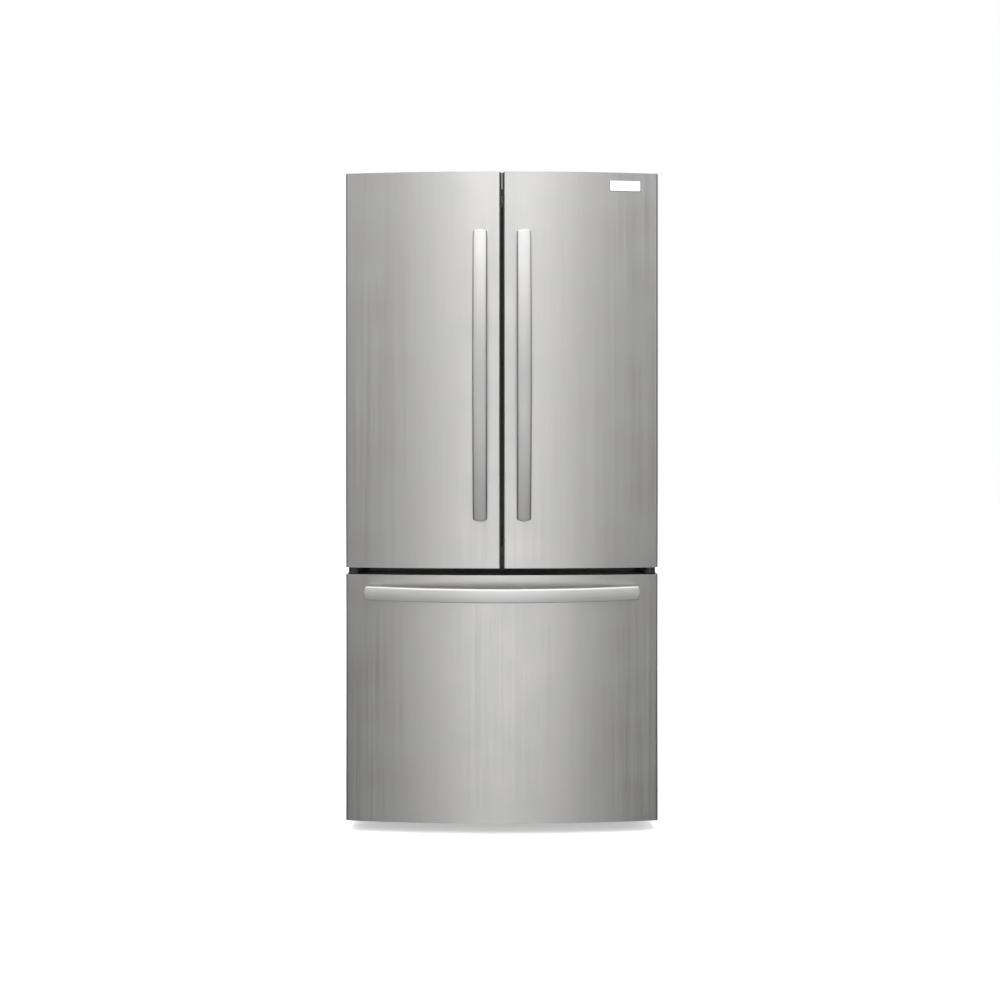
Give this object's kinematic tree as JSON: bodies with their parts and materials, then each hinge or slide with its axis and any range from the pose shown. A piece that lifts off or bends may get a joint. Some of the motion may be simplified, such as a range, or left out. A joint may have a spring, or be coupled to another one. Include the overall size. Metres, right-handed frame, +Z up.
{
  "type": "french door refrigerator",
  "caption": "Free-standing refrigerator: two hinged upper doors with upright bowed handles over a wide pull-out freezer drawer, bowed brushed-steel front.",
  "frame": {"origin": "on the floor, at the middle of the whole object's width and depth", "axes": "+Z up, the front faces -Y, +X towards the right door as seen from the front"},
  "size_m": [0.8, 0.7619, 1.6855],
  "materials": {
    "stainless": "brushed upright, satin",
    "handle_metal": "fine upright brushing, satin",
    "badge": "satin, bare",
    "painted_case": "fine textured paint",
    "galvanised_back": "galvanised, dull",
    "plated_steel": "zinc plated, dull",
    "black_steel": "black paint, semi-gloss",
    "aluminium_fins": "raw",
    "insulation": "rigid foam",
    "white_liner": "soft gloss",
    "gloss_white": "gloss",
    "gloss_grey": "gloss",
    "grey_plastic": "fine grain",
    "grey_plastic_trim": "satin",
    "dark_plastic": "fine grain",
    "clear_plastic": "clear moulded plastic",
    "shelf_glass": "tempered, polished edge",
    "lamp_lens": "frosted",
    "seal_rubber": "soft grey vinyl"
  },
  "bodies": {
    "cabinet": {"cabinet_shell": "painted_case", "back_panel": "galvanised_back", "cabinet_foam": "insulation", "fridge_liner": "white_liner", "freezer_liner": "white_liner", "center_rail": "painted_case", "base_frame": "plated_steel", "toe_grille": "dark_plastic", "machine_cover": "plated_steel", "compressor": "black_steel", "condenser_coil": "black_steel", "drain_pan": "grey_plastic", "evaporator": "aluminium_fins", "evaporator_cover": "white_liner", "air_duct": "white_liner", "power_inlet": "dark_plastic", "control_panel": "gloss_white", "light_lens": "lamp_lens", "shelf_frames": "grey_plastic_trim", "shelf_glass": "shelf_glass", "hinge_brackets": "black_steel", "hinge_covers": "grey_plastic", "mullion_guide": "dark_plastic", "fixed_rails": "plated_steel"},
    "left_door": {"left_door_skin": "stainless", "left_door_liner": "white_liner", "left_door_foam": "insulation", "left_door_caps": "grey_plastic", "left_door_gasket": "seal_rubber", "left_door_handle": "handle_metal", "left_door_bins": "clear_plastic"},
    "right_door": {"right_door_skin": "stainless", "right_door_liner": "white_liner", "right_door_foam": "insulation", "right_door_caps": "grey_plastic", "right_door_gasket": "seal_rubber", "right_door_handle": "handle_metal", "right_door_bins": "clear_plastic", "badge_plate": "badge"},
    "mullion": {"mullion_flap": "dark_plastic"},
    "freezer_drawer": {"freezer_front_skin": "stainless", "freezer_front_liner": "white_liner", "freezer_front_foam": "insulation", "freezer_gasket": "seal_rubber", "freezer_handle": "handle_metal", "inner_rails": "plated_steel", "freezer_bin": "clear_plastic"},
    "slide_members": {"middle_rails": "plated_steel"},
    "freezer_tray": {"freezer_tray": "clear_plastic"},
    "left_crisper": {"left_crisper": "clear_plastic"},
    "right_crisper": {"right_crisper": "clear_plastic"},
    "pantry_drawer": {"pantry_drawer": "clear_plastic"},
    "condenser_fan": {"condenser_fan": "grey_plastic"},
    "evaporator_fan": {"evaporator_fan": "gloss_white"},
    "fridge_button": {"fridge_button": "gloss_grey"},
    "freezer_button": {"freezer_button": "gloss_grey"},
    "left_foot": {"left_foot": "dark_plastic"},
    "right_foot": {"right_foot": "dark_plastic"},
    "left_roller": {"left_roller": "dark_plastic"},
    "right_roller": {"right_roller": "dark_plastic"}
  },
  "joints": [
    {"name": "left_door_hinge", "type": "hinge", "parent": "cabinet", "child": "left_door", "pos_m": [-0.381, -0.267, 0.66875], "axis": [0, 0, -1], "range_deg": [0, 110]},
    {"name": "right_door_hinge", "type": "hinge", "parent": "cabinet", "child": "right_door", "pos_m": [0.381, -0.267, 0.66875], "axis": [0, 0, 1], "range_deg": [0, 110]},
    {"name": "mullion_fold", "type": "hinge", "parent": "left_door", "child": "mullion", "pos_m": [-0.038, -0.211, 1.1715], "axis": [0, 0, -1], "range_deg": [0, 90]},
    {"name": "freezer_drawer_slide", "type": "slide", "parent": "cabinet", "child": "freezer_drawer", "axis": [0, -1, 0], "range_m": [0, 0.4]},
    {"name": "slide_member_travel", "type": "slide", "parent": "cabinet", "child": "slide_members", "axis": [0, -1, 0], "range_m": [0, 0.2]},
    {"name": "freezer_tray_slide", "type": "slide", "parent": "freezer_drawer", "child": "freezer_tray", "axis": [0, 1, 0], "range_m": [0, 0.135]},
    {"name": "left_crisper_slide", "type": "slide", "parent": "cabinet", "child": "left_crisper", "axis": [0, -1, 0], "range_m": [0, 0.055]},
    {"name": "right_crisper_slide", "type": "slide", "parent": "cabinet", "child": "right_crisper", "axis": [0, -1, 0], "range_m": [0, 0.1]},
    {"name": "pantry_drawer_slide", "type": "slide", "parent": "cabinet", "child": "pantry_drawer", "axis": [0, -1, 0], "range_m": [0, 0.035]},
    {"name": "condenser_fan_spin", "type": "hinge", "parent": "cabinet", "child": "condenser_fan", "pos_m": [0.014, 0.281, 0.116], "axis": [1, 0, 0], "continuous": true},
    {"name": "evaporator_fan_spin", "type": "hinge", "parent": "cabinet", "child": "evaporator_fan", "pos_m": [0, 0.2725, 0.55], "axis": [0, 1, 0], "continuous": true},
    {"name": "fridge_button_press", "type": "slide", "parent": "cabinet", "child": "fridge_button", "axis": [0, 1, 0], "range_m": [0, 0.0012], "stiffness_N_per_m": 600},
    {"name": "freezer_button_press", "type": "slide", "parent": "cabinet", "child": "freezer_button", "axis": [0, 1, 0], "range_m": [0, 0.0012], "stiffness_N_per_m": 600},
    {"name": "left_foot_turn", "type": "hinge", "parent": "cabinet", "child": "left_foot", "pos_m": [-0.3673, -0.173, 0.02], "axis": [0, 0, 1], "continuous": true},
    {"name": "right_foot_turn", "type": "hinge", "parent": "cabinet", "child": "right_foot", "pos_m": [0.3673, -0.173, 0.02], "axis": [0, 0, 1], "continuous": true},
    {"name": "left_roller_spin", "type": "hinge", "parent": "cabinet", "child": "left_roller", "pos_m": [-0.3673, 0.339, 0.02], "axis": [1, 0, 0], "continuous": true},
    {"name": "right_roller_spin", "type": "hinge", "parent": "cabinet", "child": "right_roller", "pos_m": [0.3673, 0.339, 0.02], "axis": [1, 0, 0], "continuous": true}
  ],
  "couplings": [
    {"joint": "slide_member_travel", "follows": "freezer_drawer_slide", "ratio": 0.5}
  ]
}
